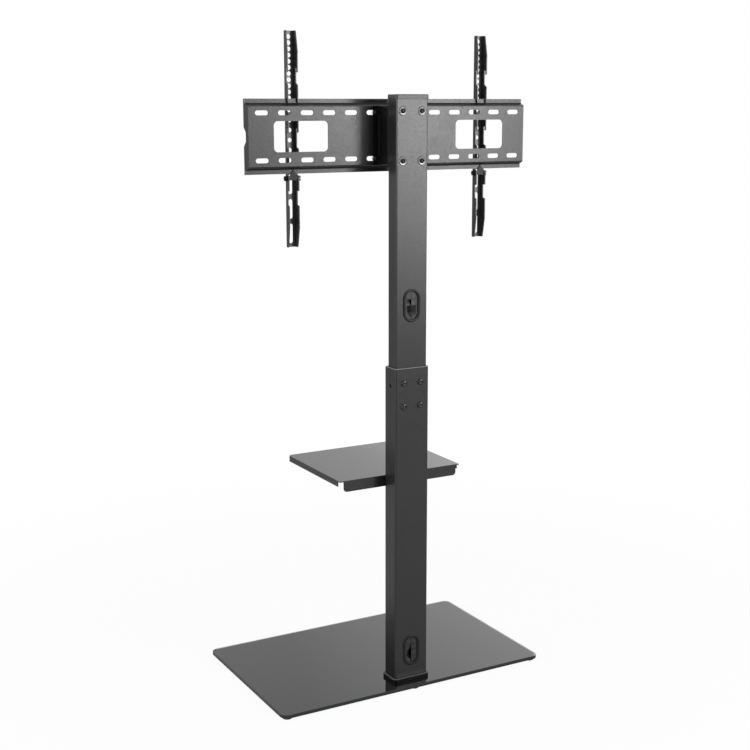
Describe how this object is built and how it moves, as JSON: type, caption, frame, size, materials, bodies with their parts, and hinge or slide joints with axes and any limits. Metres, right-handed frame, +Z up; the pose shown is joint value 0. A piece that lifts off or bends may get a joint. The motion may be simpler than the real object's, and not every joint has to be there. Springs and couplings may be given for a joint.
{
  "type": "television floor stand",
  "caption": "Floor stand for a television with a glass base, a telescopic rectangular mast, a small steel shelf and a slotted plate with hook-on arms.",
  "frame": {"origin": "centre of the glass base's outline, on the floor", "axes": "+Z up, -Y towards the television and the viewer, +X along the plate to the viewer's right"},
  "size_m": [0.664, 0.398, 1.4013],
  "materials": {
    "black_glass": "gloss, painted black below",
    "powder_coated_steel": "satin powder coat",
    "black_plastic": "satin, moulded",
    "black_rubber": "matte",
    "black_fasteners": "black oxide",
    "bright_fasteners": "zinc plated"
  },
  "bodies": {
    "stand": {"base_glass": "black_glass", "base_feet": "black_rubber", "anchor_plate": "powder_coated_steel", "base_bolts": "bright_fasteners", "foot_block": "bright_fasteners", "foot_collar": "black_plastic", "lower_tube": "powder_coated_steel", "guide_sleeve": "black_plastic", "height_bolts": "black_fasteners", "clamp_nut_plate": "bright_fasteners", "side_screw": "black_fasteners", "lower_grommet_ring": "black_plastic", "lower_grommet_flaps": "black_rubber", "shelf": "powder_coated_steel", "shelf_bolts": "black_fasteners", "shelf_nuts": "bright_fasteners"},
    "mast": {"upper_tube": "powder_coated_steel", "tube_glide": "black_plastic", "top_cap": "black_plastic", "upper_grommet_ring": "black_plastic", "upper_grommet_flaps": "black_rubber", "mount_bolts": "black_fasteners", "mount_washers": "bright_fasteners", "mount_nuts": "bright_fasteners", "adapter_bracket": "powder_coated_steel", "adapter_screws": "black_fasteners", "adapter_nuts": "bright_fasteners", "wall_plate": "powder_coated_steel"},
    "right_arm_body": {"right_arm": "powder_coated_steel", "right_latch_screw": "black_fasteners", "right_latch_nut": "bright_fasteners"},
    "right_latch_body": {"right_latch": "powder_coated_steel"},
    "left_arm_body": {"left_arm": "powder_coated_steel", "left_latch_screw": "black_fasteners", "left_latch_nut": "bright_fasteners"},
    "left_latch_body": {"left_latch": "powder_coated_steel"}
  },
  "joints": [
    {"name": "height_slide", "type": "slide", "parent": "stand", "child": "mast", "axis": [0, 0, 1], "range_m": [0, 0.1]},
    {"name": "right_arm_slide", "type": "slide", "parent": "mast", "child": "right_arm_body", "axis": [1, 0, 0], "range_m": [-0.205, 0.09]},
    {"name": "left_arm_slide", "type": "slide", "parent": "mast", "child": "left_arm_body", "axis": [1, 0, 0], "range_m": [-0.09, 0.205]},
    {"name": "right_latch_hinge", "type": "hinge", "parent": "right_arm_body", "child": "right_latch_body", "pos_m": [0.226, 0.0697, 1.1101], "axis": [-1, 0, 0], "range_deg": [0, 90]},
    {"name": "left_latch_hinge", "type": "hinge", "parent": "left_arm_body", "child": "left_latch_body", "pos_m": [-0.226, 0.0697, 1.1101], "axis": [-1, 0, 0], "range_deg": [0, 90]}
  ]
}
